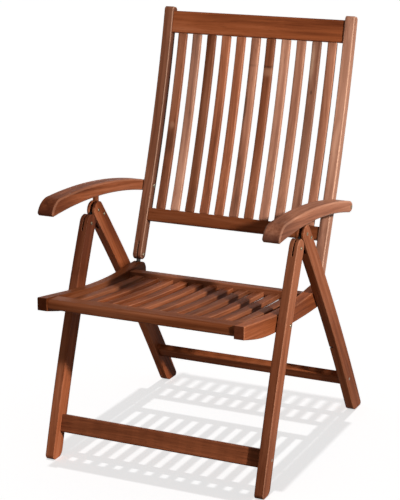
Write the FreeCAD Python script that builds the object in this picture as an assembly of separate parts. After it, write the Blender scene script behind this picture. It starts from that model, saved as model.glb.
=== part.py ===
import FreeCAD, Part
import math
import os

os.makedirs("parts", exist_ok=True)
V = FreeCAD.Vector

# A folding garden armchair with a reclining slatted back, standing open and upright.
# Millimetres. X across the chair, Y to its rear, Z up, origin on the floor under its middle.
# "left" is the left hand of a person sitting in it, which is +X.

# Widths, from the middle outwards
CLEAR_WIDTH = 486.0
RAIL_THICK = 26.0
SIDE_GAP = 3.0
LEG_THICK = 23.0
ARM_GAP = 2.0
ARM_WIDTH = 45.0

# Legs, in side view
LEG_PIVOT_Y = -115.7
LEG_PIVOT_Z = 567.0
FRONT_FOOT_Y = -306.7
FRONT_LEG_DEPTH = 45.0
FRONT_LEG_BOW = 9.0
REAR_FOOT_Y = 373.0
REAR_LEG_DEPTH_TOP = 45.0
REAR_LEG_DEPTH_FOOT = 52.0
REAR_LEG_BOW = 10.0
REAR_TOP_DY = 39.5
REAR_TOP_DZ = 27.0
FOOT_CLIP = 9.0
FOOT_SOFT = 3.0
EDGE_EASE = 2.0

# Stretchers between the legs
FRONT_STRETCHER_TALL = 44.0
REAR_STRETCHER_TALL = 35.0
STRETCHER_THICK = 20.0
FRONT_STRETCHER_Z = 86.0
FRONT_STRETCHER_BACK = 9.0
REAR_STRETCHER_Z = 114.0
REAR_STRETCHER_BACK = -8.0

# Steel hinge plates, bolts and screws
PLATE_THICK = 3.0
PLATE_EDGE = 10.0
PLATE_CLIP = 5.0
PLATE_SIDE_CLEAR = 0.2
SECOND_BOLT_DY = 30.0
SECOND_BOLT_DZ = -16.0
FRONT_FORK_DROP = 24.0
REAR_FORK_DROP = 52.0
BOLT_R = 3.0
RUN_CLEAR = 0.05
HEAD_R = 4.5
HEAD_SIDES = 8
FIXED_SIDES = 8
HEAD_TALL = 2.6
THIN_HEAD_TALL = 2.0
WASHER_R = 9.0
WASHER_HOLE_R = 3.3
WASHER_SIDES = 8
WASHER_CLEAR = 0.1
SCREW_R = 2.5
SCREW_HEAD_R = 4.0
SCREW_HEAD_TALL = 3.0
SCREW_LENGTH = 55.0

# Seat
SEAT_PIVOT_DROP = 174.0
SEAT_PIVOT_BACK = 9.0
SEAT_REACH = 224.0
RAIL_NOSE_TOP = 57.0
RAIL_NOSE_TALL = 32.0
RAIL_BELOW_PIVOT = 15.0
RAIL_ABOVE_PIVOT = 27.0
RAIL_END_R = 26.0
RAIL_DIP = 3.5
RAIL_DIP_AHEAD = 72.0
RAIL_NOSE_SLOPE = 0.13
RAIL_UNDER_RISE = 13.0
RAIL_UNDER_SLOPE = 0.27
PEG_DROP = 5.0
PEG_R = 4.0
PEG_SIDES = 12
PEG_SEAT = 9.0
GROOVE_DEPTH = 9.0
GROOVE_CLEAR = 0.7
GROOVE_STEPS = 6
GROOVE_PROBE = 0.01
PEG_END_CLEAR = 1.0
EAR_DY = 19.0
EAR_DZ = 3.0
EAR_SLOT_ROOM = 12.5
CROSS_RAIL_THICK = 24.0
FRONT_RAIL_DEPTH = 50.0
FRONT_RAIL_ROUND = 10.0
FRONT_RAIL_INSET = 5.0
FRONT_RAIL_DROP = 4.0
REAR_RAIL_DEPTH = 32.0
REAR_RAIL_AHEAD = 69.0
REAR_RAIL_TOP = 17.5
SEAT_SLATS = 11
SEAT_SLAT_WIDTH = 24.0
SEAT_SLAT_THICK = 14.0
SEAT_SLAT_SAG = 4.0
SEAT_SLAT_DROP = 8.5

# Back
BACK_HINGE_DY = 10.0
BACK_HINGE_DZ = 45.0
BACK_LEAN = 19.8
BACK_STRAIGHT = 190.0
BACK_RADIUS = 3300.0
UPRIGHT_DEPTH = 28.0
UPRIGHT_LENGTH = 673.0
UPRIGHT_EASE = 5.0
UPRIGHT_FORK = 34.0
TOP_RAIL_TALL = 58.0
TOP_RAIL_BELOW = 11.0
BOTTOM_RAIL_TALL = 35.0
BOTTOM_RAIL_AT = 109.0
BACK_RAIL_THICK = 20.0
BACK_RAIL_INSET = 4.0
BACK_SLATS = 11
BACK_SLAT_WIDTH = 24.0
BACK_SLAT_THICK = 12.0

# Arms and the catches that hold them
ARM_BOLT_AT = 187.0
ARM_REAR_DEPTH = 29.0
ARM_TILT = 12.5
ARM_REACH = 500.0
ARM_TOP_FRONT_RISE = 54.0
ARM_UNDER_FRONT_RISE = 13.5
ARM_NOSE_LENGTH = 46.0
ARM_CHIN_CLIP = 7.0
ARM_CHIN_SOFT = 2.5
ARM_EASE = 3.5
CATCH_THICK = 9.0
CATCH_WIDTH = 16.0
CATCH_CLIP = 3.5
CATCH_EDGE = 9.5
CATCH_DY = 6.0
NOTCHES = 5
NOTCH_PITCH = 26.0
NOTCH_DEPTH = 5.0
NOTCH_CLEAR = 0.4
NOTCH_SLOPE = 34.0

# How far it folds, which sets the groove that guides the seat
FOLD_ANGLE = 54.0
SEAT_FOLD_ANGLE = 97.0

# Planes across the chair
RAIL_IN = CLEAR_WIDTH / 2
RAIL_OUT = RAIL_IN + RAIL_THICK
LEG_IN = RAIL_OUT + SIDE_GAP
LEG_OUT = LEG_IN + LEG_THICK
LEG_MID = LEG_IN + LEG_THICK / 2
RAIL_MID = RAIL_IN + RAIL_THICK / 2
ARM_IN = RAIL_OUT + ARM_GAP
ARM_OUT = ARM_IN + ARM_WIDTH
PLATE_SLOT = PLATE_THICK + 2 * PLATE_SIDE_CLEAR
LEG_SLOT_IN = LEG_MID - PLATE_SLOT / 2
LEG_SLOT_OUT = LEG_MID + PLATE_SLOT / 2
RAIL_SLOT_IN = RAIL_MID - PLATE_SLOT / 2
RAIL_SLOT_OUT = RAIL_MID + PLATE_SLOT / 2


def at(y, z):
    """A point of the side view."""
    return V(0, y, z)


def turned(v, degrees):
    """A side-view vector turned so that what is in front of the pivot rises."""
    a = math.radians(degrees)
    return at(v.y * math.cos(a) + v.z * math.sin(a), v.z * math.cos(a) - v.y * math.sin(a))


def line(p, q):
    return Part.makeLine(p, q)


def arc(p, q, r):
    return Part.Arc(p, q, r).toShape()


def slab(edges, x0, x1):
    """A side-view outline given thickness from x0 to x1."""
    face = Part.Face(Part.Wire(edges))
    face.translate(V(x0, 0, 0))
    return face.extrude(V(x1 - x0, 0, 0))


def pin(p, r, x0, x1):
    """A round bar across the chair, through side-view point p."""
    return Part.makeCylinder(r, x1 - x0, V(x0, p.y, p.z), V(1, 0, 0))


def bar_of(p, r, sides, x0, x1):
    """A many-sided bar across the chair, through side-view point p."""
    corners = []
    for i in range(sides + 1):
        a = 2 * math.pi * (i + 0.5) / sides
        corners.append(p + at(math.cos(a), math.sin(a)) * r)
    return slab([line(a, b) for a, b in zip(corners, corners[1:])], x0, x1)


def strap(p, q, half, clip, x0, x1):
    """A flat strap in side view from p to q, with clipped corners, half wide each way."""
    along = (q - p).normalize()
    across = at(-along.z, along.y)
    inner = half - clip
    corners = []
    for end, way in ((q, 1), (p, -1)):
        corners.append(end + across * (half * way) + along * (inner * way))
        corners.append(end + across * (inner * way) + along * (half * way))
        corners.append(end - across * (inner * way) + along * (half * way))
        corners.append(end - across * (half * way) + along * (inner * way))
    corners.append(corners[0])
    return slab([line(a, b) for a, b in zip(corners, corners[1:])], x0, x1)


def beside(p, along, reach, half, x0, x1):
    """A square-ended block that runs from p along a direction, half wide each way."""
    across = at(-along.z, along.y) * half
    q = p + along * reach
    corners = [p - across, q - across, q + across, p + across, p - across]
    return slab([line(a, b) for a, b in zip(corners, corners[1:])], x0, x1)


def eased(solid, size, planes):
    """A slab with the edges round its flat sides in the given planes taken off."""
    chosen = []
    for edge in solid.Edges:
        box = edge.BoundBox
        if box.XLength < 1e-6 and min(abs(box.XMin - x) for x in planes) < 1e-6:
            chosen.append(edge)
    return solid.makeChamfer(size, chosen)


def across(solid, p, reach):
    """The edges that run straight across the chair within reach of side-view point p."""
    found = []
    for edge in solid.Edges:
        box = edge.BoundBox
        straight = box.XLength > 1 and box.YLength < 1e-6 and box.ZLength < 1e-6
        if straight and at(box.YMin, box.ZMin).distanceToPoint(p) < reach:
            found.append(edge)
    return found


def nosed(solid, p, clip, soft):
    """A slab with its corner at side-view point p taken off in two steps, all but round."""
    solid = solid.makeChamfer(clip, across(solid, p, 1e-3))
    return solid.makeChamfer(soft, across(solid, p, 1.2 * clip))


def shank(p, x0, x1, turn0, turn1):
    """A steel pin: round from turn0 to turn1, where a piece turns on it, faceted where it is fast in wood."""
    solid = pin(p, BOLT_R, turn0, turn1)
    for fast0, fast1 in ((x0, turn0), (turn1, x1)):
        if fast1 > fast0:
            solid = solid.fuse(bar_of(p, BOLT_R, FIXED_SIDES, fast0, fast1))
    return solid


def bolt(p, x0, x1, turn0, turn1, head_tall):
    """A pivot bolt across the chair, with a low head at each end."""
    solid = shank(p, x0, x1, turn0, turn1)
    solid = solid.fuse(bar_of(p, HEAD_R, HEAD_SIDES, x0 - head_tall, x0))
    return solid.fuse(bar_of(p, HEAD_R, HEAD_SIDES, x1, x1 + head_tall)).removeSplitter()


def fixed_bolt(p, x0, x1, head_tall):
    """A bolt that stays fast in the wood, with a low head at each end."""
    solid = bar_of(p, BOLT_R, FIXED_SIDES, x0, x1)
    solid = solid.fuse(bar_of(p, HEAD_R, HEAD_SIDES, x0 - head_tall, x0))
    return solid.fuse(bar_of(p, HEAD_R, HEAD_SIDES, x1, x1 + head_tall)).removeSplitter()


def fast_hole(p, x0, x1):
    """The hole in which a bolt sits fast."""
    return bar_of(p, BOLT_R, FIXED_SIDES, x0, x1)


def bolt_hole(p, x0, x1):
    """The running hole of a piece that turns on a bolt."""
    return pin(p, BOLT_R + RUN_CLEAR, x0, x1)


def screw(p, x_out, length):
    """A flat-headed wood screw driven inwards from the plane x_out."""
    head = bar_of(p, SCREW_HEAD_R, HEAD_SIDES, x_out - SCREW_HEAD_TALL, x_out)
    thread = bar_of(p, SCREW_R, FIXED_SIDES, x_out - length, x_out - SCREW_HEAD_TALL)
    return thread.fuse(head).removeSplitter()


def mirrored(solid):
    return solid.mirror(V(0, 0, 0), V(1, 0, 0))


def both(solid):
    """A pair of like pieces, one on each side."""
    return Part.makeCompound([solid, mirrored(solid)])


class Sweep:
    """A side-view arc that leaves p in a set direction and ends at q."""

    def __init__(self, p, heading, q):
        side = at(-heading.z, heading.y)
        step = q - p
        reach = step.dot(step) / (2 * step.dot(side))
        self.centre = p + side * reach
        self.radius = abs(reach)
        middle = (p + q) * 0.5 - self.centre
        self.edge = arc(p, self.centre + middle.normalize() * self.radius, q)
        self.heading = step.normalize() * (2 * step.normalize().dot(heading)) - heading


class Bow:
    """A gently bowed centre line from a top point to a foot point."""

    def __init__(self, top, foot, bow):
        chord = foot - top
        self.rear = at(-chord.z, chord.y).normalize()
        middle = (top + foot) * 0.5 + self.rear * bow
        circle = Part.Circle(top, middle, foot)
        self.centre = circle.Center
        self.radius = circle.Radius
        self.top = top
        half_angle = math.asin(chord.Length / 2 / self.radius)
        self.turn = math.degrees(2 * half_angle) * (1 if bow > 0 else -1)
        self.outward = 1 if bow > 0 else -1

    def spoke(self, t):
        return turned((self.top - self.centre).normalize(), self.turn * t)

    def point(self, t, back=0.0):
        """The point a share t of the way down, set back from the centre line."""
        return self.centre + self.spoke(t) * (self.radius + self.outward * back)

    def down(self, t):
        rear = self.spoke(t) * self.outward
        return at(rear.z, -rear.y)

    def share_at(self, z):
        """The share of the way down at which the centre line is at height z."""
        low, high = -0.2, 1.4
        for _ in range(60):
            middle = (low + high) / 2
            if self.point(middle).z > z:
                low = middle
            else:
                high = middle
        return low


def leg(bow, depth_top, depth_foot):
    """A leg: bowed, round at the top, eased outside, flat on the floor with rounded corners."""
    past = 1.0 + depth_foot / LEG_PIVOT_Z
    stops = [0.0, past / 2, past]
    halves = [(depth_top + (depth_foot - depth_top) * t) / 2 for t in stops]
    front = [bow.point(t, -h) for t, h in zip(stops, halves)]
    rear = [bow.point(t, h) for t, h in zip(stops, halves)]
    crown = bow.point(0) - bow.down(0) * halves[0]
    outline = [arc(front[0], front[1], front[2]), line(front[2], rear[2]),
               arc(rear[2], rear[1], rear[0]), arc(rear[0], crown, front[0])]
    solid = slab(outline, LEG_IN, LEG_OUT)
    below = 4 * depth_foot
    floor = Part.makeBox(LEG_THICK, 4 * LEG_PIVOT_Z, below, V(LEG_IN, -2 * LEG_PIVOT_Z, -below))
    solid = solid.cut(floor)
    corners = [e for e in solid.Edges if abs(e.BoundBox.ZMax) < 1e-6 and e.BoundBox.YLength < 1e-6]
    for corner in corners:
        solid = nosed(solid, at(corner.BoundBox.YMin, 0), FOOT_CLIP, FOOT_SOFT)
    return eased(solid, EDGE_EASE, [LEG_OUT])


def stretcher(bow, tall, z, back):
    """A bar between a pair of legs, in line with their slope, held by a screw at each end."""
    t = bow.share_at(z)
    centre = bow.point(t, back)
    down = bow.down(t)
    start = centre - down * (tall / 2)
    bar = beside(start, down, tall, STRETCHER_THICK / 2, -LEG_IN, LEG_IN)
    long_edges = [e for e in bar.Edges if e.BoundBox.XLength > LEG_IN]
    bar = bar.makeChamfer(EDGE_EASE, long_edges)
    return bar, screw(centre, LEG_OUT, SCREW_LENGTH)


pieces = {}


def keep(name, solid):
    pieces[name] = solid


def keep_pair(name, solid):
    keep(name + "_left", solid)
    keep(name + "_right", mirrored(solid))


# Main places in the side view
leg_pivot = at(LEG_PIVOT_Y, LEG_PIVOT_Z)
rear_top = leg_pivot + at(REAR_TOP_DY, REAR_TOP_DZ)
second_bolt = rear_top + at(SECOND_BOLT_DY, SECOND_BOLT_DZ)
front_bow = Bow(leg_pivot, at(FRONT_FOOT_Y, 0), -FRONT_LEG_BOW)
rear_bow = Bow(rear_top, at(REAR_FOOT_Y, 0), REAR_LEG_BOW)
seat_pivot = front_bow.point(front_bow.share_at(LEG_PIVOT_Z - SEAT_PIVOT_DROP), SEAT_PIVOT_BACK)
peg = rear_bow.point(rear_bow.share_at(seat_pivot.z - PEG_DROP))
ear = peg + at(EAR_DY, EAR_DZ)
back_hinge = ear + at(BACK_HINGE_DY, BACK_HINGE_DZ)


# The back's side curve: straight from the hinge, then bowed towards upright
def back_point(s, back=0.0):
    lean = math.radians(BACK_LEAN)
    if s <= BACK_STRAIGHT:
        rear = at(math.cos(lean), -math.sin(lean))
        return back_hinge + at(math.sin(lean), math.cos(lean)) * s + rear * back
    a = lean - (s - BACK_STRAIGHT) / BACK_RADIUS
    start_rear = at(math.cos(lean), -math.sin(lean))
    knee = back_hinge + at(math.sin(lean), math.cos(lean)) * BACK_STRAIGHT
    centre = knee - start_rear * BACK_RADIUS
    return centre + at(math.cos(a), -math.sin(a)) * (BACK_RADIUS + back)


def back_edge(s0, s1, back):
    """The edges along the back's curve from s0 up to s1."""
    knee = min(max(s0, BACK_STRAIGHT), s1)
    edges = []
    if s0 < knee:
        edges.append(line(back_point(s0, back), back_point(knee, back)))
    if knee < s1:
        edges.append(arc(back_point(knee, back), back_point((knee + s1) / 2, back), back_point(s1, back)))
    return edges


def back_strip(s0, s1, front, rear, x0, x1):
    """A piece that follows the back's curve between two heights and two depths."""
    edges = back_edge(s0, s1, front) + [line(back_point(s1, front), back_point(s1, rear))]
    edges += back_edge(s0, s1, rear) + [line(back_point(s0, rear), back_point(s0, front))]
    return slab(Part.__sortEdges__(edges), x0, x1)


# Front legs, with a saw slot in the round top for the hinge plate
front_leg = leg(front_bow, FRONT_LEG_DEPTH, FRONT_LEG_DEPTH)
front_fork_foot = leg_pivot + front_bow.down(0) * FRONT_FORK_DROP
front_leg = front_leg.cut(beside(front_fork_foot, front_bow.down(0) * -1, FRONT_FORK_DROP + FRONT_LEG_DEPTH,
                                 FRONT_LEG_DEPTH, LEG_SLOT_IN, LEG_SLOT_OUT))
front_leg = front_leg.cut(fast_hole(leg_pivot, LEG_IN, LEG_OUT))
front_leg = front_leg.cut(fast_hole(seat_pivot, LEG_IN, LEG_OUT))
front_bar, front_screw = stretcher(front_bow, FRONT_STRETCHER_TALL, FRONT_STRETCHER_Z, FRONT_STRETCHER_BACK)
front_leg = front_leg.cut(front_screw)
keep_pair("front_leg", front_leg)
keep("front_stretcher", front_bar.cut(both(front_screw)))
keep("front_stretcher_screws", both(front_screw))
keep("leg_pivot_bolts", both(bolt(leg_pivot, LEG_IN, LEG_OUT, LEG_SLOT_IN, LEG_SLOT_OUT, HEAD_TALL)))
keep("seat_pivot_bolts", both(bolt(seat_pivot, RAIL_IN, LEG_OUT, RAIL_IN, LEG_IN, HEAD_TALL)))
washer = bar_of(seat_pivot, WASHER_R, WASHER_SIDES, RAIL_OUT + WASHER_CLEAR, LEG_IN)
washer = washer.cut(bar_of(seat_pivot, WASHER_HOLE_R, WASHER_SIDES, RAIL_OUT, LEG_IN))
keep("seat_pivot_washers", both(washer))

# Steel plate that joins the legs, bolted twice in the rear leg and turning on the front leg's bolt
plate_x0 = LEG_MID - PLATE_THICK / 2
plate_x1 = LEG_MID + PLATE_THICK / 2
plate_blank = strap(leg_pivot, rear_top, PLATE_EDGE, PLATE_CLIP, plate_x0, plate_x1)
plate_blank = plate_blank.fuse(strap(rear_top, second_bolt, PLATE_EDGE, PLATE_CLIP, plate_x0, plate_x1))
plate_blank = plate_blank.removeSplitter()
leg_plate_bolts = [fixed_bolt(place, LEG_IN, LEG_OUT, THIN_HEAD_TALL) for place in (rear_top, second_bolt)]
leg_plate = plate_blank.cut(leg_plate_bolts).cut(bolt_hole(leg_pivot, plate_x0, plate_x1))
keep_pair("leg_hinge_plate", leg_plate)
keep("leg_plate_bolts", Part.makeCompound(leg_plate_bolts + [mirrored(b) for b in leg_plate_bolts]))

# Arm: a bowed rail that drops to a rounded nose, pivoted on the back's upright at its rear end
arm_bolt = back_point(ARM_BOLT_AT)
arm_axis = at(-math.cos(math.radians(ARM_TILT)), math.sin(math.radians(ARM_TILT)))
arm_up = at(arm_axis.z, -arm_axis.y)
nose_y = arm_bolt.y - ARM_REACH
top_rear = arm_bolt + arm_up * (ARM_REAR_DEPTH / 2)
under_rear = arm_bolt - arm_up * (ARM_REAR_DEPTH / 2)
arm_end = arm_bolt - arm_axis * (ARM_REAR_DEPTH / 2)
top_front = at(nose_y + ARM_NOSE_LENGTH, arm_bolt.z + ARM_TOP_FRONT_RISE)
tip = at(nose_y, arm_bolt.z + ARM_UNDER_FRONT_RISE)
arm_top = Sweep(top_rear, arm_axis, top_front)
arm_nose = Sweep(top_front, arm_top.heading, tip)
arm_under = Sweep(under_rear, arm_axis, tip)
arm_outline = [arm_top.edge, arm_nose.edge, arm_under.edge, arc(under_rear, arm_end, top_rear)]
arm = slab(arm_outline, ARM_IN, ARM_OUT)
arm = nosed(arm, tip, ARM_CHIN_CLIP, ARM_CHIN_SOFT)
arm = eased(arm, ARM_EASE, [ARM_IN, ARM_OUT])


def under_z(y):
    """Height of the arm's underside at y."""
    return arm_under.centre.z + math.sqrt(arm_under.radius ** 2 - (y - arm_under.centre.y) ** 2)


# Catch: a hardwood tongue that fills the rear leg's fork and stands up into a notch of the arm
catch_y = rear_top.y + CATCH_DY
catch_top = under_z(catch_y) + NOTCH_DEPTH - NOTCH_CLEAR
catch_half = CATCH_WIDTH / 2
catch_x0 = LEG_MID - CATCH_THICK / 2
catch_x1 = LEG_MID + CATCH_THICK / 2
catch = strap(at(catch_y, second_bolt.z), at(catch_y, catch_top - catch_half), catch_half, CATCH_CLIP,
              catch_x0, catch_x1)
catch = catch.fuse(strap(rear_top, second_bolt, CATCH_EDGE, PLATE_CLIP, catch_x0, catch_x1)).removeSplitter()
keep_pair("arm_catch", catch.cut(plate_blank).cut(leg_plate_bolts))


def notch(y):
    """A blind notch in the arm's underside, steep to the rear and sloped to the front."""
    roof = under_z(y) + NOTCH_DEPTH
    mouth = under_z(y) - NOTCH_DEPTH
    half_roof = catch_half - CATCH_CLIP + NOTCH_CLEAR
    rear = y + catch_half + NOTCH_CLEAR
    front = y - half_roof - (roof - mouth) / math.tan(math.radians(NOTCH_SLOPE))
    corners = [at(rear, mouth), at(rear, roof - CATCH_CLIP), at(y + half_roof, roof), at(y - half_roof, roof),
               at(front, mouth), at(rear, mouth)]
    outline = [line(a, b) for a, b in zip(corners, corners[1:])]
    return slab(outline, catch_x0 - NOTCH_CLEAR, catch_x1 + NOTCH_CLEAR)


for number in range(NOTCHES):
    arm = arm.cut(notch(catch_y - number * NOTCH_PITCH))
arm = arm.cut(bolt_hole(arm_bolt, ARM_IN, ARM_OUT))
keep_pair("arm", arm)

# Rear legs, forked at the top for plate and catch, grooved inside for the seat's peg
rear_leg = leg(rear_bow, REAR_LEG_DEPTH_TOP, REAR_LEG_DEPTH_FOOT)
rear_fork_foot = rear_top + rear_bow.down(0) * REAR_FORK_DROP
rear_leg = rear_leg.cut(beside(rear_fork_foot, rear_bow.down(0) * -1, REAR_FORK_DROP + REAR_LEG_DEPTH_TOP,
                               REAR_LEG_DEPTH_TOP, catch_x0, catch_x1))
rear_leg = rear_leg.cut(leg_plate_bolts)


def peg_on_leg(share):
    """Where the seat's peg lies on the rear leg when the chair is folded by a share of its travel."""
    now = seat_pivot + turned(peg - seat_pivot, SEAT_FOLD_ANGLE * share)
    return leg_pivot + turned(now - leg_pivot, -FOLD_ANGLE * share)


def groove_side(back):
    """One side of the groove, set off from the peg's path."""
    points = []
    for step in range(GROOVE_STEPS + 1):
        share = step / GROOVE_STEPS
        along = (peg_on_leg(share + GROOVE_PROBE) - peg_on_leg(share - GROOVE_PROBE)).normalize()
        points.append(peg_on_leg(share) + at(-along.z, along.y) * back)
    return points


def groove_end(share, way, start, finish):
    """The round end of the groove, beyond the peg's path."""
    along = (peg_on_leg(share + GROOVE_PROBE) - peg_on_leg(share - GROOVE_PROBE)).normalize()
    return arc(start, peg_on_leg(share) + along * (way * groove_half), finish)


def smooth(points):
    curve = Part.BSplineCurve()
    curve.interpolate(points)
    return curve.toShape()


groove_half = PEG_R + GROOVE_CLEAR
rear_side = groove_side(groove_half)
front_side = groove_side(-groove_half)
groove = slab([smooth(rear_side), groove_end(1.0, 1, rear_side[-1], front_side[-1]), smooth(front_side[::-1]),
               groove_end(0.0, -1, front_side[0], rear_side[0])], LEG_IN, LEG_IN + GROOVE_DEPTH)
rear_leg = rear_leg.cut(groove)
rear_bar, rear_screw = stretcher(rear_bow, REAR_STRETCHER_TALL, REAR_STRETCHER_Z, REAR_STRETCHER_BACK)
rear_leg = rear_leg.cut(rear_screw)
keep_pair("rear_leg", rear_leg)
keep("rear_stretcher", rear_bar.cut(both(rear_screw)))
keep("rear_stretcher_screws", both(rear_screw))

# Seat side rails: hollowed along the top, curved up under the front, round at the rear
nose = seat_pivot.y - SEAT_REACH
nose_top = seat_pivot.z + RAIL_NOSE_TOP
nose_low = nose_top - RAIL_NOSE_TALL
rail_low = at(seat_pivot.y, seat_pivot.z - RAIL_BELOW_PIVOT)
ear_top = ear + at(0, RAIL_END_R)
ear_low = ear - at(0, RAIL_END_R)
ear_rear = ear + at(RAIL_END_R, 0)
dip = at(ear.y - RAIL_DIP_AHEAD, ear_top.z - RAIL_DIP)
rail_waist = at(seat_pivot.y, seat_pivot.z + RAIL_ABOVE_PIVOT)
top_curve = Part.BSplineCurve()
top_curve.interpolate(Points=[at(nose, nose_top), rail_waist, dip, ear_top],
                      InitialTangent=at(1, -RAIL_NOSE_SLOPE), FinalTangent=at(1, 0))
under_mid = at((nose + rail_low.y) / 2, rail_low.z + RAIL_UNDER_RISE)
low_curve = Part.BSplineCurve()
low_curve.interpolate(Points=[ear_low, rail_low, under_mid, at(nose, nose_low)],
                      InitialTangent=at(-1, 0), FinalTangent=at(-1, RAIL_UNDER_SLOPE))
rail = slab([top_curve.toShape(), arc(ear_top, ear_rear, ear_low), low_curve.toShape(),
             line(at(nose, nose_low), at(nose, nose_top))], RAIL_IN, RAIL_OUT)
rail = eased(rail, EDGE_EASE, [RAIL_OUT])

# Steel plate that turns in a slot of the seat rail's round end and carries the back at its top
back_plate_x0 = RAIL_MID - PLATE_THICK / 2
back_plate_x1 = RAIL_MID + PLATE_THICK / 2
back_plate = strap(ear, back_hinge, PLATE_EDGE, PLATE_CLIP, back_plate_x0, back_plate_x1)
for place in (ear, back_hinge):
    back_plate = back_plate.cut(bolt_hole(place, back_plate_x0, back_plate_x1))
keep_pair("back_hinge_plate", back_plate)
slot_corner = V(RAIL_SLOT_IN, ear.y - EAR_SLOT_ROOM, ear.z - EAR_SLOT_ROOM)
rail = rail.cut(Part.makeBox(PLATE_SLOT, 2 * RAIL_END_R, 2 * RAIL_END_R, slot_corner))
rail = rail.cut(fast_hole(ear, RAIL_IN, RAIL_OUT))
keep("back_plate_pins", both(shank(ear, RAIL_IN, RAIL_OUT, RAIL_SLOT_IN, RAIL_SLOT_OUT).removeSplitter()))
rail = rail.cut(bolt_hole(seat_pivot, RAIL_IN, RAIL_OUT))
guide_peg = bar_of(peg, PEG_R, PEG_SIDES, RAIL_OUT - PEG_SEAT, LEG_IN + GROOVE_DEPTH - PEG_END_CLEAR)
rail = rail.cut(guide_peg)
keep("seat_guide_pegs", both(guide_peg))

# Seat slats, hollowed to the sitter, set below the tops of the front and rear rails
front_top = nose_top - FRONT_RAIL_DROP
front_face = nose + FRONT_RAIL_INSET
rear_rail_y = ear.y - REAR_RAIL_AHEAD
rear_top_z = ear.z + REAR_RAIL_TOP
slat_y0 = front_face + FRONT_RAIL_DEPTH
slat_y1 = rear_rail_y
fall = math.atan2(front_top - rear_top_z, rear_rail_y - front_face)


def slat_top(y):
    """Top of the seat slats at y."""
    share = (y - slat_y0) / (slat_y1 - slat_y0)
    straight = front_top - SEAT_SLAT_DROP - (y - front_face) * math.tan(fall)
    return straight - SEAT_SLAT_SAG * 4 * share * (1 - share)


def seat_slat(x):
    y0, y1 = slat_y0, slat_y1
    ym = (y0 + y1) / 2
    tops = [at(y, slat_top(y)) for y in (y0, ym, y1)]
    lows = [p - at(0, SEAT_SLAT_THICK) for p in tops]
    x0, x1 = x - SEAT_SLAT_WIDTH / 2, x + SEAT_SLAT_WIDTH / 2
    under = arc(lows[2], lows[1], lows[0])
    return slab([arc(*tops), line(tops[2], lows[2]), under, line(lows[0], tops[0])], x0, x1)


def spread(count, width):
    """Middles of so many slats of a width, evenly set in the clear width."""
    gap = (CLEAR_WIDTH - count * width) / (count + 1)
    return [-CLEAR_WIDTH / 2 + gap + width / 2 + i * (width + gap) for i in range(count)]


seat_slats = [seat_slat(x) for x in spread(SEAT_SLATS, SEAT_SLAT_WIDTH)]


def cross_rail(y, top, depth, rounded):
    """A seat cross rail between the side rails, in line with the seat's fall."""
    near = at(y, top)
    far = at(y + depth, top - depth * math.tan(fall))
    low = at(0, -CROSS_RAIL_THICK)
    corners = [near, far, far + low, near + low, near]
    bar = slab([line(a, b) for a, b in zip(corners, corners[1:])], -RAIL_IN, RAIL_IN)
    long_edges = [e for e in bar.Edges if e.BoundBox.XLength > RAIL_IN]
    bar = bar.makeFillet(rounded, [e for e in long_edges if abs(e.BoundBox.ZMax - top) < 1e-6])
    long_edges = [e for e in bar.Edges if e.BoundBox.XLength > RAIL_IN]
    return bar.makeChamfer(EDGE_EASE, [e for e in long_edges if e.BoundBox.ZMin < top - CROSS_RAIL_THICK / 2])


seat_front = cross_rail(front_face, front_top, FRONT_RAIL_DEPTH, FRONT_RAIL_ROUND)
seat_rear = cross_rail(rear_rail_y, rear_top_z, REAR_RAIL_DEPTH, EDGE_EASE)
for number, slat in enumerate(seat_slats, 1):
    keep("seat_slat_%02d" % number, slat)
keep("seat_front_rail", seat_front)
keep("seat_rear_rail", seat_rear)
keep_pair("seat_side_rail", rail)

# Back uprights: round and slotted at the hinge, bowed, eased at the top
half = UPRIGHT_DEPTH / 2
upright_edges = back_edge(0, UPRIGHT_LENGTH, -half) + back_edge(0, UPRIGHT_LENGTH, half)
upright_edges.append(line(back_point(UPRIGHT_LENGTH, -half), back_point(UPRIGHT_LENGTH, half)))
hinge_down = (back_point(0) - back_point(BACK_STRAIGHT)).normalize()
upright_edges.append(arc(back_point(0, -half), back_hinge + hinge_down * half, back_point(0, half)))
upright = slab(Part.__sortEdges__(upright_edges), RAIL_IN, RAIL_OUT)
upright_top = back_point(UPRIGHT_LENGTH).z
cross_edges = [e for e in upright.Edges if e.BoundBox.XLength > 1]
top_edges = [e for e in cross_edges if e.BoundBox.ZMin > upright_top - UPRIGHT_DEPTH]
upright = upright.makeChamfer(UPRIGHT_EASE, top_edges)
upright = eased(upright, EDGE_EASE, [RAIL_IN, RAIL_OUT])
fork_top = back_point(UPRIGHT_FORK)
upright = upright.cut(beside(fork_top, hinge_down, UPRIGHT_FORK + UPRIGHT_DEPTH, UPRIGHT_DEPTH,
                             RAIL_SLOT_IN, RAIL_SLOT_OUT))
upright = upright.cut(fast_hole(back_hinge, RAIL_IN, RAIL_OUT))
upright = upright.cut(fast_hole(arm_bolt, RAIL_IN, RAIL_OUT))
hinge_bolt = bolt(back_hinge, RAIL_IN, RAIL_OUT, RAIL_SLOT_IN, RAIL_SLOT_OUT, THIN_HEAD_TALL)
keep("back_hinge_bolts", both(hinge_bolt))
keep_pair("arm_bolt", bolt(arm_bolt, RAIL_IN, ARM_OUT, RAIL_OUT, ARM_OUT, HEAD_TALL))

# Back rails and the slats between them
rail_front = -half + BACK_RAIL_INSET
rail_rear = rail_front + BACK_RAIL_THICK
top_s1 = UPRIGHT_LENGTH - TOP_RAIL_BELOW
top_s0 = top_s1 - TOP_RAIL_TALL
bottom_s0 = BOTTOM_RAIL_AT - BOTTOM_RAIL_TALL / 2
bottom_s1 = BOTTOM_RAIL_AT + BOTTOM_RAIL_TALL / 2


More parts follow.
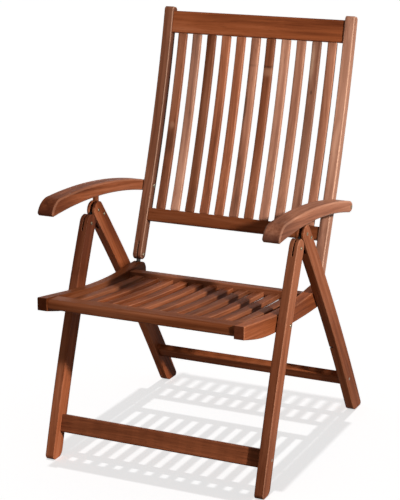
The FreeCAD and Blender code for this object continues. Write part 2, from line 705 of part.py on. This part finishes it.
def back_rail(s0, s1):
    """A rail between the uprights."""
    bar = back_strip(s0, s1, rail_front, rail_rear, -RAIL_IN, RAIL_IN)
    return bar.makeChamfer(EDGE_EASE, [e for e in bar.Edges if e.BoundBox.XLength > RAIL_IN])


keep("back_top_rail", back_rail(top_s0, top_s1))
keep("back_bottom_rail", back_rail(bottom_s0, bottom_s1))
keep_pair("back_upright", upright)
slat_mid = (rail_front + rail_rear) / 2
slat_front = slat_mid - BACK_SLAT_THICK / 2
slat_rear = slat_mid + BACK_SLAT_THICK / 2
for number, x in enumerate(spread(BACK_SLATS, BACK_SLAT_WIDTH), 1):
    x0, x1 = x - BACK_SLAT_WIDTH / 2, x + BACK_SLAT_WIDTH / 2
    keep("back_slat_%02d" % number, back_strip(bottom_s1, top_s0, slat_front, slat_rear, x0, x1))

for name, solid in pieces.items():
    solid.exportStep("parts/%s.step" % name)
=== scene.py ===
import bmesh
import bpy
import math
from mathutils import Matrix, Vector


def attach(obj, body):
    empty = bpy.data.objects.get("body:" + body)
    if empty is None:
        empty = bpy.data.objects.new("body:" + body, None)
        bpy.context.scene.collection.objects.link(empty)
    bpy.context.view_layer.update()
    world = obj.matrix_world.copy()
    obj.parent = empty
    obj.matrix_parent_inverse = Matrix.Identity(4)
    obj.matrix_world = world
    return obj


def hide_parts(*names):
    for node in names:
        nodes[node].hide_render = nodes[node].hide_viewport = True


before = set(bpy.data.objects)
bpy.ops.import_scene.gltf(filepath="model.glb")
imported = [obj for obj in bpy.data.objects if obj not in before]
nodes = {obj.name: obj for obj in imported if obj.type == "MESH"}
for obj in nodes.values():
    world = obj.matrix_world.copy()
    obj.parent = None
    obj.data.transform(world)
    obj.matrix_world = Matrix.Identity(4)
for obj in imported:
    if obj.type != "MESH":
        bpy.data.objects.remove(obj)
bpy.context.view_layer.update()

# Front legs: two gently bowed bars sawn from reddish hardwood plank, the grain along the leg.
# The round top is slotted for the hinge plate and the outer edges are eased by hand.
# Oiled, they show long streaks, darker clouds and small pores, and a pale highlight is painted on their
# edges.


def oiled_wood(name, along, tone, ash, seed, clouds=1.0, streaks=1.0, blotch=0.0, marks=(), face_shade=0.0,
               edge_highlight=0.07):
    """Oiled hardwood with its grain along a direction.

    tone is how light the plank is, ash how far it greys, and seed picks its stretch of the figure. clouds and
    streaks say how strongly the broad and the narrow figure show, and blotch how dark the damp spots are.
    marks are stains, knots and painted shadows, each with its middle, reach, colour and strength. The last
    two say how strong a painted shade is on the faces that look forward, up or back, and how strong a painted
    pale highlight is along the edges."""
    material = bpy.data.materials.new(name)
    material.use_nodes = True
    tree = material.node_tree
    make, join = tree.nodes.new, tree.links.new
    shader = tree.nodes["Principled BSDF"]

    def shade(red, green, blue):
        """A wood colour brought to this plank's tone and greyness."""
        grey = 0.5 * red + 0.35 * green + 0.15 * blue
        dusty = (grey, 1.12 * grey, 0.95 * grey)
        return [tone * (wood + ash * (dust - wood)) for wood, dust in zip((red, green, blue), dusty)]

    def noise(source, across, length, detail, rough):
        """Noise drawn out along the grain, so fine across the grain and so fine along it, per metre."""
        scaled = make("ShaderNodeVectorMath")
        scaled.operation = "MULTIPLY"
        scaled.inputs[1].default_value = (across, across, length)
        join(source, scaled.inputs[0])
        texture = make("ShaderNodeTexNoise")
        texture.inputs["Scale"].default_value = 1.0
        texture.inputs["Detail"].default_value = detail
        texture.inputs["Roughness"].default_value = rough
        join(scaled.outputs[0], texture.inputs["Vector"])
        return texture

    def spread(source, low, high, to_low=0.0, to_high=1.0):
        """A value between two limits brought to two others, and held there."""
        node = make("ShaderNodeMapRange")
        node.inputs["From Min"].default_value = low
        node.inputs["From Max"].default_value = high
        node.inputs["To Min"].default_value = to_low
        node.inputs["To Max"].default_value = to_high
        join(source, node.inputs["Value"])
        return node.outputs["Result"]

    def sum_of(a, share_a, b, share_b):
        """Two values added, each by its share."""
        scaled = make("ShaderNodeMath")
        scaled.operation = "MULTIPLY"
        scaled.inputs[1].default_value = share_b
        join(b, scaled.inputs[0])
        total = make("ShaderNodeMath")
        total.operation = "MULTIPLY_ADD"
        total.inputs[1].default_value = share_a
        join(a, total.inputs[0])
        join(scaled.outputs[0], total.inputs[2])
        return total.outputs[0]

    def product_of(a, b):
        """Two values multiplied."""
        node = make("ShaderNodeMath")
        node.operation = "MULTIPLY"
        join(a, node.inputs[0])
        join(b, node.inputs[1])
        return node.outputs[0]

    def size_of(value):
        """A value without its sign."""
        node = make("ShaderNodeMath")
        node.operation = "ABSOLUTE"
        join(value, node.inputs[0])
        return node.outputs[0]

    def tinted(base, share, colour):
        """A colour laid over another where a share says so."""
        mix = make("ShaderNodeMix")
        mix.data_type = "RGBA"
        join(share, mix.inputs[0])
        join(base, mix.inputs[6])
        mix.inputs[7].default_value = (*colour, 1)
        return mix.outputs[2]

    def dot_of(a, b):
        """How far two directions agree."""
        node = make("ShaderNodeVectorMath")
        node.operation = "DOT_PRODUCT"
        join(a, node.inputs[0])
        if isinstance(b, Vector):
            node.inputs[1].default_value = b
        else:
            join(b, node.inputs[1])
        return node.outputs["Value"]

    grain = Vector(along).normalized()
    place = make("ShaderNodeTexCoord")
    lay = make("ShaderNodeMapping")
    lay.inputs["Rotation"].default_value = grain.rotation_difference(Vector((0, 0, 1))).to_euler()
    lay.inputs["Location"].default_value = (0.061 * seed + 0.03, 0.113 * seed - 0.05, 0.37 * seed)
    join(place.outputs["Object"], lay.inputs["Vector"])
    waver = noise(lay.outputs["Vector"], across=6.0, length=2.0, detail=2.0, rough=0.5)
    drift = make("ShaderNodeVectorMath")
    drift.operation = "MULTIPLY_ADD"
    drift.inputs[1].default_value = (0.03, 0.03, 0.0)
    join(waver.outputs["Color"], drift.inputs[0])
    join(lay.outputs["Vector"], drift.inputs[2])
    plank = drift.outputs[0]

    cloud = noise(plank, across=11.0, length=1.6, detail=2.0, rough=0.5).outputs["Fac"]
    streak = noise(plank, across=75.0, length=1.1, detail=4.0, rough=0.6).outputs["Fac"]
    fibre = noise(plank, across=260.0, length=6.0, detail=4.0, rough=0.65).outputs["Fac"]
    pores = noise(plank, across=640.0, length=18.0, detail=2.0, rough=0.6).outputs["Fac"]
    cloud_share, streak_share, fibre_share = 0.46, 0.4 * streaks, 0.22
    cloud = spread(cloud, 0.3, 0.7, 0.5 - 0.5 * clouds, 0.5 + 0.5 * clouds)
    figure = sum_of(cloud, cloud_share, spread(streak, 0.25, 0.75), streak_share)
    figure = sum_of(figure, 1.0, spread(fibre, 0.25, 0.75), fibre_share)
    tones = make("ShaderNodeValToRGB")
    stops = tones.color_ramp.elements
    stops[0].position = 0.2
    stops[0].color = (*shade(0.065, 0.014, 0.0045), 1)
    stops[1].position = 0.92
    stops[1].color = (*shade(0.37, 0.127, 0.058), 1)
    stops.new(0.5).color = (*shade(0.2, 0.052, 0.017), 1)
    join(figure, tones.inputs["Fac"])
    pore_share, pore_colour = 0.5, shade(0.03, 0.009, 0.004)
    colour = tinted(tones.outputs["Color"], spread(pores, 0.6, 0.74, 0.0, pore_share), pore_colour)
    if blotch:
        damp = noise(plank, across=17.0, length=5.0, detail=3.0, rough=0.55).outputs["Fac"]
        damp_colour = shade(0.028, 0.012, 0.008)
        colour = tinted(colour, spread(damp, 0.52, 0.68, 0.0, blotch), damp_colour)
    for middle, reach, stain, strength in marks:
        apart = make("ShaderNodeVectorMath")
        apart.operation = "SUBTRACT"
        apart.inputs[1].default_value = middle
        join(place.outputs["Object"], apart.inputs[0])
        within = make("ShaderNodeVectorMath")
        within.operation = "DIVIDE"
        within.inputs[1].default_value = reach
        join(apart.outputs[0], within.inputs[0])
        far = make("ShaderNodeVectorMath")
        far.operation = "LENGTH"
        join(within.outputs[0], far.inputs[0])
        share = spread(far.outputs["Value"], 1.0, 0.4, 0.0, strength)
        patchy = product_of(share, spread(figure, 0.35, 0.7, 1.05, 0.6))
        colour = tinted(colour, patchy, shade(*stain))

    facing = make("ShaderNodeSeparateXYZ")
    join(place.outputs["Normal"], facing.inputs[0])
    sideways = size_of(facing.outputs["X"])
    # Painted shade: faces that look forward, up or back are painted darker than the sides, as side light
    # leaves them.
    if face_shade:
        face_shade_colour = shade(0.05, 0.011, 0.004)
        colour = tinted(colour, spread(sideways, 0.8, 0.4, 0.0, face_shade), face_shade_colour)
    end = size_of(dot_of(place.outputs["Normal"], grain))
    end_share, end_colour = 0.8, shade(0.05, 0.011, 0.005)
    colour = tinted(colour, spread(end, 0.75, 0.95, 0.0, end_share), end_colour)

    soft_edge = make("ShaderNodeBevel")
    soft_edge.samples = 6
    soft_edge.inputs["Radius"].default_value = 0.003
    flat = make("ShaderNodeNewGeometry")
    # Painted highlight: the edges found by the bevel and by the rounding across the grain are painted pale.
    edge_highlight_by_bevel = spread(dot_of(soft_edge.outputs["Normal"], flat.outputs["Normal"]), 0.98, 0.78, 0.0, edge_highlight)
    rounded = product_of(spread(sideways, 0.25, 0.5), spread(sideways, 0.97, 0.85))
    edge = sum_of(edge_highlight_by_bevel, 1.0, rounded, 1.5 * edge_highlight)
    highlight_colour = shade(0.6, 0.31, 0.19)
    join(tinted(colour, edge, highlight_colour), shader.inputs["Base Color"])

    dull, shiny = 0.5, 0.38
    join(spread(fibre, 0.3, 0.7, dull, shiny), shader.inputs["Roughness"])
    shader.inputs["Specular IOR Level"].default_value = 0.012
    relief = make("ShaderNodeBump")
    relief.inputs["Strength"].default_value = 0.3
    relief.inputs["Distance"].default_value = 0.0006
    join(sum_of(fibre, 1.0, spread(pores, 0.6, 0.74), -0.5), relief.inputs["Height"])
    join(soft_edge.outputs["Normal"], relief.inputs["Normal"])
    join(relief.outputs["Normal"], shader.inputs["Normal"])
    return material


def finish_with(node, material):
    """Lays a finish on a piece of the frame."""
    nodes[node].material_slots[0].material = material


front_slope = (0, 0.34, 1)
# The dark colour stands for darker plank in most marks and for a painted shadow on one upright's inner side.
dark_plank_and_shade, pale_plank = (0.06, 0.014, 0.005), (0.4, 0.15, 0.07)
left_marks = [((0.28, -0.3, 0.0), (1.0, 1.0, 0.3), dark_plank_and_shade, 0.42),
              ((0.28, -0.15, 0.6), (1.0, 1.0, 0.28), pale_plank, 0.2)]
# The front legs carry that painted shade on their fronts and a painted highlight along their edges.
left_leg_wood = oiled_wood("front_leg_wood_left", front_slope, 0.98, 0.05, 1, clouds=0.4, marks=left_marks,
                           face_shade=0.4, edge_highlight=0.1)
finish_with("front_leg_left", left_leg_wood)
right_marks = [((-0.28, -0.12, 0.56), (1.0, 1.0, 0.27), dark_plank_and_shade, 1.15)]
right_leg_wood = oiled_wood("front_leg_wood_right", front_slope, 1.45, 0.03, 2, clouds=0.4, marks=right_marks,
                            face_shade=0.45)
finish_with("front_leg_right", right_leg_wood)

# Front stretcher: a flat hardwood bar between the front legs near the floor, its edges eased.
# One countersunk steel screw, driven through the leg, holds it at each end.
across_chair = (1, 0, 0)
stretcher_wood = oiled_wood("front_stretcher_wood", across_chair, 1.08, 0.05, 3, clouds=0.2, streaks=0.4)
finish_with("front_stretcher", stretcher_wood)


def zinc_steel(name, tone, rough):
    """Zinc-plated steel, a little yellowed, cloudy and finely scratched."""
    material = bpy.data.materials.new(name)
    material.use_nodes = True
    tree = material.node_tree
    make, join = tree.nodes.new, tree.links.new
    shader = tree.nodes["Principled BSDF"]
    place = make("ShaderNodeTexCoord")
    cloud = make("ShaderNodeTexNoise")
    cloud.inputs["Scale"].default_value = 260.0
    cloud.inputs["Detail"].default_value = 4.0
    join(place.outputs["Object"], cloud.inputs["Vector"])
    tones = make("ShaderNodeValToRGB")
    stops = tones.color_ramp.elements
    stops[0].position = 0.3
    stops[0].color = (*[0.5 * part for part in tone], 1)
    stops[1].position = 0.7
    stops[1].color = (*tone, 1)
    join(cloud.outputs["Fac"], tones.inputs["Fac"])
    join(tones.outputs["Color"], shader.inputs["Base Color"])
    dull = make("ShaderNodeMapRange")
    dull.inputs["To Min"].default_value = rough + 0.12
    dull.inputs["To Max"].default_value = rough - 0.08
    join(cloud.outputs["Fac"], dull.inputs["Value"])
    join(dull.outputs["Result"], shader.inputs["Roughness"])
    shader.inputs["Metallic"].default_value = 1.0
    scratches = make("ShaderNodeTexNoise")
    scratches.inputs["Scale"].default_value = 1400.0
    join(place.outputs["Object"], scratches.inputs["Vector"])
    relief = make("ShaderNodeBump")
    relief.inputs["Strength"].default_value = 0.15
    relief.inputs["Distance"].default_value = 0.0002
    join(scratches.outputs["Fac"], relief.inputs["Height"])
    join(relief.outputs["Normal"], shader.inputs["Normal"])
    return material


screw_steel = zinc_steel("screw_zinc", (0.38, 0.33, 0.25), 0.36)
finish_with("front_stretcher_screws", screw_steel)

# Pivot bolts of the front legs: short steel bolts, zinc-plated, with low domed heads and a key socket.
# The upper pair carries the leg plates, the lower pair the seat, with a flat washer beside each seat rail.
bolt_steel = zinc_steel("bolt_zinc", (0.27, 0.215, 0.14), 0.3)


def domed_bolts(node, body, places, inner, outer, tall, sides=(1, -1)):
    """Turned bolts across the chair: a round shank between two planes and a domed head at each end.

    places are the bolts' middles as seen from the side of the chair, tall is the height of a head."""
    facets = 24
    shank_radius = 0.0029
    head = [(0.0045, 0.0), (0.0045, 0.25), (0.0041, 0.55), (0.0033, 0.82), (0.0023, 1.0), (0.0019, 0.98),
            (0.0016, 0.4), (0.0002, 0.4)]
    profile = [(inner - rise * tall, radius) for radius, rise in reversed(head)]
    profile += [(inner, shank_radius), (outer, shank_radius)]
    profile += [(outer + rise * tall, radius) for radius, rise in head]
    corners = [2 * math.pi * corner / facets for corner in range(facets)]
    turned = bmesh.new()
    for side in sides:
        for y, z in places:
            rings = []
            for x, radius in profile:
                rings.append([turned.verts.new((side * x, y + radius * math.cos(a), z + radius * math.sin(a)))
                              for a in corners])
            turned.faces.new(rings[0])
            turned.faces.new(rings[-1])
            for near, far in zip(rings, rings[1:]):
                for corner in range(facets):
                    turned.faces.new((near[corner - 1], near[corner], far[corner], far[corner - 1]))
    bmesh.ops.recalc_face_normals(turned, faces=turned.faces)
    mesh = bpy.data.meshes.new(node + "_turned")
    turned.to_mesh(mesh)
    turned.free()
    mesh.shade_smooth()
    mesh.set_sharp_from_angle(angle=math.radians(50))
    mesh.materials.append(bolt_steel)
    piece = bpy.data.objects.new(node + "_turned", mesh)
    bpy.context.scene.collection.objects.link(piece)
    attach(piece, body)
    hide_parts(node)


leg_inside, leg_outside, rail_inside, rail_outside = 0.272, 0.295, 0.243, 0.269
full_head, low_head = 0.0026, 0.002
leg_pivot, seat_pivot = (-0.1157, 0.567), (-0.174, 0.38993)
domed_bolts("leg_pivot_bolts", "front_legs", [leg_pivot], leg_inside, leg_outside, full_head)
domed_bolts("seat_pivot_bolts", "front_legs", [seat_pivot], rail_inside, leg_outside, full_head)
finish_with("seat_pivot_washers", bolt_steel)

# Rear legs: longer bowed bars of the same plank, thicker towards the foot and forked at the round top.
# A curved groove is routed inside each for the seat's steel peg.
rear_slope = (0, -0.75, 1)
finish_with("rear_leg_left", oiled_wood("rear_leg_wood_left", rear_slope, 0.8, 0.0, 4))
dark_fork = [((-0.28, -0.06, 0.6), (1.0, 1.0, 0.18), dark_plank_and_shade, 0.6)]
finish_with("rear_leg_right", oiled_wood("rear_leg_wood_right", rear_slope, 1.3, 0.0, 5, marks=dark_fork))

# Rear stretcher: a narrower hardwood bar between the rear legs, set in line with their slope.
# It is screwed on through the legs like the front one.
finish_with("rear_stretcher", oiled_wood("rear_stretcher_wood", across_chair, 1.02, 0.0, 6))
finish_with("rear_stretcher_screws", screw_steel)

# Leg hinge plates: flat steel cut with clipped corners, bolted twice through each rear leg's fork.
# They turn on the front leg's bolt, so that the legs close like scissors.
# Painted shade: the plates' steel is painted almost black, for the shade in the slots where they sit.
shaded_plate_steel = zinc_steel("plate_zinc_shaded", (0.05, 0.045, 0.04), 0.5)
for node in ("leg_hinge_plate_left", "leg_hinge_plate_right"):
    finish_with(node, shaded_plate_steel)
plate_bolts = [(-0.0762, 0.594), (-0.0462, 0.578)]
domed_bolts("leg_plate_bolts", "rear_legs", plate_bolts, leg_inside, leg_outside, low_head)

# Catches: small hardwood tongues, glued and bolted in the rear legs' forks.
# They stand up into the arms' notches and hold the back at its slope.
for seed, side in ((7, "left"), (8, "right")):
    finish_with("arm_catch_" + side, oiled_wood("catch_wood_" + side, (0, 0, 1), 0.7, 0.0, seed))

# Seat side rails: deep hardwood bars, hollowed along the top, curved up to the front, round at the rear.
# Each turns on a bolt through the front leg and runs on a steel peg in the rear leg's groove.
lengthwise = (0, 1, -0.08)
finish_with("seat_side_rail_left", oiled_wood("seat_rail_wood_left", lengthwise, 1.05, 0.0, 9))
finish_with("seat_side_rail_right", oiled_wood("seat_rail_wood_right", lengthwise, 0.5, -0.06, 10))
finish_with("seat_guide_pegs", bolt_steel)

# Seat cross rails: hardwood bars between the side rails that carry the slats' ends.
# The front one is broad and rounded for the knees, the rear one narrow.
finish_with("seat_front_rail", oiled_wood("seat_front_wood", across_chair, 0.6, 0.0, 11))
finish_with("seat_rear_rail", oiled_wood("seat_rear_wood", across_chair, 0.85, 0.05, 12))

# Seat slats: eleven narrow hardwood bars, hollowed to the sitter, let into the cross rails below their tops.
# They come from different planks, so their tones differ, and they are sanded round along the edges.


def sanded(node, radius):
    """Rounds the edges of a piece of the frame as sanding does."""
    weld = nodes[node].modifiers.new("joined_faces", "WELD")
    weld.merge_threshold = 1e-5
    rounding = nodes[node].modifiers.new("sanded_edges", "BEVEL")
    rounding.width = radius
    rounding.segments = 3
    rounding.limit_method = "ANGLE"
    rounding.angle_limit = math.radians(40)
    rounding.harden_normals = True


slat_round = 0.0025
# How strongly the slats' edges are painted pale as a highlight.
slat_edge_highlight = 0.13
seat_tones = [0.61, 0.86, 0.79, 1.1, 0.78, 0.74, 0.77, 0.54, 0.83, 0.69, 0.57]
for number, tone in enumerate(seat_tones, 1):
    node = "seat_slat_%02d" % number
    wood = oiled_wood("seat_slat_wood_%02d" % number, lengthwise, tone, -0.02, 20 + number, blotch=0.35,
                      edge_highlight=slat_edge_highlight)
    finish_with(node, wood)
    sanded(node, slat_round)

# Back hinge plates: flat steel links let into saw slots of the seat rails and the back's uprights.
# A pin holds each below and a bolt above, so that the back leans and folds on them.
# The back plates carry the same painted shade.
for node in ("back_hinge_plate_left", "back_hinge_plate_right"):
    finish_with(node, shaded_plate_steel)
finish_with("back_plate_pins", bolt_steel)
back_hinge = (0.12248, 0.43293)
domed_bolts("back_hinge_bolts", "back", [back_hinge], rail_inside, rail_outside, low_head)

# Back uprights: bowed hardwood bars, round and slotted at the hinge, with clipped tops.
# The long edges are eased and painted pale as a highlight, and the inner side of one carries a painted
# shadow.
leaning = (0, 0.28, 1)
finish_with("back_upright_left", oiled_wood("upright_wood_left", leaning, 1.52, 0.3, 113, edge_highlight=0.15))
# Painted shadow: the inner side of this upright, next to the first slat, is painted dark.
inner_side_shadow = [((-0.243, 0.2, 0.7), (0.006, 1.0, 0.6), dark_plank_and_shade, 0.75)]
right_upright_wood = oiled_wood("upright_wood_right", leaning, 0.9, 0.16, 14, clouds=0.6, marks=inner_side_shadow,
                                edge_highlight=0.25)
finish_with("back_upright_right", right_upright_wood)

# Back rails: a broad top rail and a narrower bottom rail, glued and doweled between the uprights.
# Both are of plain reddish plank with straight grain.
finish_with("back_top_rail", oiled_wood("back_top_wood", across_chair, 1.15, 0.0, 15, streaks=0.5))
finish_with("back_bottom_rail", oiled_wood("back_bottom_wood", across_chair, 0.74, 0.0, 16, streaks=0.8))

# Back slats: eleven narrow bars of mixed planks, from pale tan to purplish brown, some with a knot.
# They are bent to the back's curve, sanded round and let into the two back rails.
back_tones = [(1.07, 0.12), (1.86, 0.32), (0.68, 0.08), (1.41, 0.11), (1.35, 0.11), (1.5, 0.24), (0.86, 0.08),
              (1.87, 0.3), (1.48, 0.26), (1.07, 0.25), (1.26, 0.2)]
dark_knot, pale_knot = (0.03, 0.01, 0.005), (0.5, 0.24, 0.13)
back_marks = {1: [((-0.2125, 0.232, 0.77), (0.009, 0.03, 0.012), pale_knot, 0.35),
                  ((-0.2135, 0.2225, 0.73), (0.022, 0.05, 0.05), dark_knot, 0.6)],
              6: [((-0.008, 0.251, 0.83), (0.005, 0.03, 0.06), dark_knot, 0.7),
                  ((0.0, 0.28, 0.9387), (0.05, 0.05, 0.004), dark_knot, 0.3)],
              7: [((0.0425, 0.279, 0.9373), (0.05, 0.05, 0.004), dark_knot, 0.6),
                  ((0.0425, 0.277, 0.924), (0.05, 0.05, 0.014), pale_knot, 0.35)],
              10: [((0.164, 0.285, 0.955), (0.007, 0.04, 0.065), pale_knot, 0.6),
                   ((0.17, 0.265, 0.881), (0.004, 0.03, 0.007), dark_knot, 0.8)]}
for number, (tone, ash) in enumerate(back_tones, 1):
    node = "back_slat_%02d" % number
    marks = back_marks.get(number, ())
    wood = oiled_wood("back_slat_wood_%02d" % number, leaning, tone, ash, 40 + number, clouds=0.6, blotch=0.2,
                      marks=marks, edge_highlight=slat_edge_highlight)
    finish_with(node, wood)
    sanded(node, slat_round)

# Arms: broad bowed hardwood rails that drop to a rounded nose, with five notches cut underneath.
# Each turns on a long domed bolt through the back's upright. The noses are darker.
arm_slope = (0, 1, -0.1)
arm_pivot = (0.18582, 0.60888)
arm_middle, arm_outside = 0.2935, 0.316
for seed, side, way, tone, ash in ((17, "left", 1, 1.2, 0.18), (18, "right", -1, 1.08, 0.05)):
    nose = [((way * arm_middle, -0.33, 0.62), (1.0, 0.15, 1.0), dark_plank_and_shade, 0.55)]
    finish_with("arm_" + side, oiled_wood("arm_wood_" + side, arm_slope, tone, ash, seed, marks=nose))
    domed_bolts("arm_bolt_" + side, "back", [arm_pivot], rail_inside, arm_outside, full_head, sides=(way,))

# Floor: a plain white studio floor that fills the view.
# It glows a little where it is seen, so that it stays white around the chair's shadow.
floor_mesh = bpy.data.meshes.new("floor")
reach = 12.0
floor_corners = [(-reach, -reach, 0), (reach, -reach, 0), (reach, reach, 0), (-reach, reach, 0)]
floor_mesh.from_pydata(floor_corners, [], [(0, 1, 2, 3)])
floor = bpy.data.objects.new("floor", floor_mesh)
bpy.context.scene.collection.objects.link(floor)
floor.location.z = -0.0005
paper = bpy.data.materials.new("white_floor")
paper.use_nodes = True
paper_shader = paper.node_tree.nodes["Principled BSDF"]
paper_shader.inputs["Base Color"].default_value = (0.9, 0.9, 0.9, 1)
paper_shader.inputs["Roughness"].default_value = 1.0
paper_shader.inputs["Specular IOR Level"].default_value = 0.0
paper_shader.inputs["Emission Color"].default_value = (1, 1, 1, 1)


def plainly_seen(tree):
    """One for what is seen straight, in metal or through glass, and nought for light from all around."""
    ray = tree.nodes.new("ShaderNodeLightPath")
    mirrored = tree.nodes.new("ShaderNodeMath")
    mirrored.operation = "MAXIMUM"
    tree.links.new(ray.outputs["Is Glossy Ray"], mirrored.inputs[0])
    tree.links.new(ray.outputs["Is Transmission Ray"], mirrored.inputs[1])
    either = tree.nodes.new("ShaderNodeMath")
    either.operation = "MAXIMUM"
    tree.links.new(ray.outputs["Is Camera Ray"], either.inputs[0])
    tree.links.new(mirrored.outputs[0], either.inputs[1])
    return either.outputs[0]


glow = paper.node_tree.nodes.new("ShaderNodeMath")
glow.operation = "MULTIPLY"
glow.inputs[1].default_value = 0.67
paper.node_tree.links.new(plainly_seen(paper.node_tree), glow.inputs[0])
paper.node_tree.links.new(glow.outputs[0], paper_shader.inputs["Emission Strength"])
floor_mesh.materials.append(paper)

# Studio light: white surroundings, a key lamp from the right, a weak fill from the front and a low lamp
# behind, all flagged off the floor, and a small high lamp that draws the slats' shadow under the seat.
world = bpy.data.worlds.new("studio")
bpy.context.scene.world = world
world.use_nodes = True
sky = world.node_tree
background = sky.nodes["Background"]
background.inputs["Color"].default_value = (1, 1, 1, 1)
level = sky.nodes.new("ShaderNodeMapRange")
level.inputs["To Min"].default_value = 0.14
level.inputs["To Max"].default_value = 1.0
sky.links.new(plainly_seen(sky), level.inputs["Value"])
sky.links.new(level.outputs["Result"], background.inputs["Strength"])

flagged = bpy.data.collections.new("kept_from_the_lamps")
flagged.objects.link(floor)
flagged.collection_objects[0].light_linking.link_state = "EXCLUDE"


def lamp(name, place, watts, size, glints=True):
    """A square soft lamp aimed at the middle of the chair, with or without glints."""
    chair_middle = Vector((0, 0, 0.5))
    data = bpy.data.lights.new(name, "AREA")
    data.energy = watts
    data.size = size
    holder = bpy.data.objects.new(name, data)
    bpy.context.scene.collection.objects.link(holder)
    holder.location = place
    holder.rotation_euler = (chair_middle - Vector(place)).to_track_quat("-Z", "Y").to_euler()
    holder.light_linking.receiver_collection = flagged
    holder.visible_glossy = glints


lamp("key", (3.25, -1.55, 2.05), watts=240, size=0.18)
lamp("fill", (-1.4, -3.2, 1.6), watts=9, size=1.6)
lamp("rear", (-2.6, 3.4, 1.0), watts=150, size=1.6, glints=False)
high = bpy.data.lights.new("high", "SUN")
high.energy = 0.75
high.angle = math.radians(1.2)
high_holder = bpy.data.objects.new("high", high)
bpy.context.scene.collection.objects.link(high_holder)
high_holder.rotation_euler = (math.radians(5), 0, 0)

# Camera: a long lens at standing height, in front of the chair and to its left.
# It stands where the chair was photographed from.
target = Vector((0, -0.0479, 0.513))
to_camera = Vector((0.39611, -0.88273, 0.25277)).normalized()
camera_distance = 3.8237
roll = math.radians(0.592)
level_right = Vector((0, 0, 1)).cross(to_camera).normalized()
level_up = to_camera.cross(level_right)
view_right = level_right * math.cos(roll) + level_up * math.sin(roll)
view_up = level_up * math.cos(roll) - level_right * math.sin(roll)
camera_data = bpy.data.cameras.new("camera")
camera_data.lens = 109.55
camera_data.sensor_width = 36.0
camera = bpy.data.objects.new("camera", camera_data)
bpy.context.scene.collection.objects.link(camera)
turn = Matrix((view_right, view_up, to_camera)).transposed().to_4x4()
camera.matrix_world = Matrix.Translation(target + to_camera * camera_distance) @ turn
bpy.context.scene.camera = camera
bpy.context.scene.view_settings.view_transform = "Standard"

bpy.context.view_layer.update()
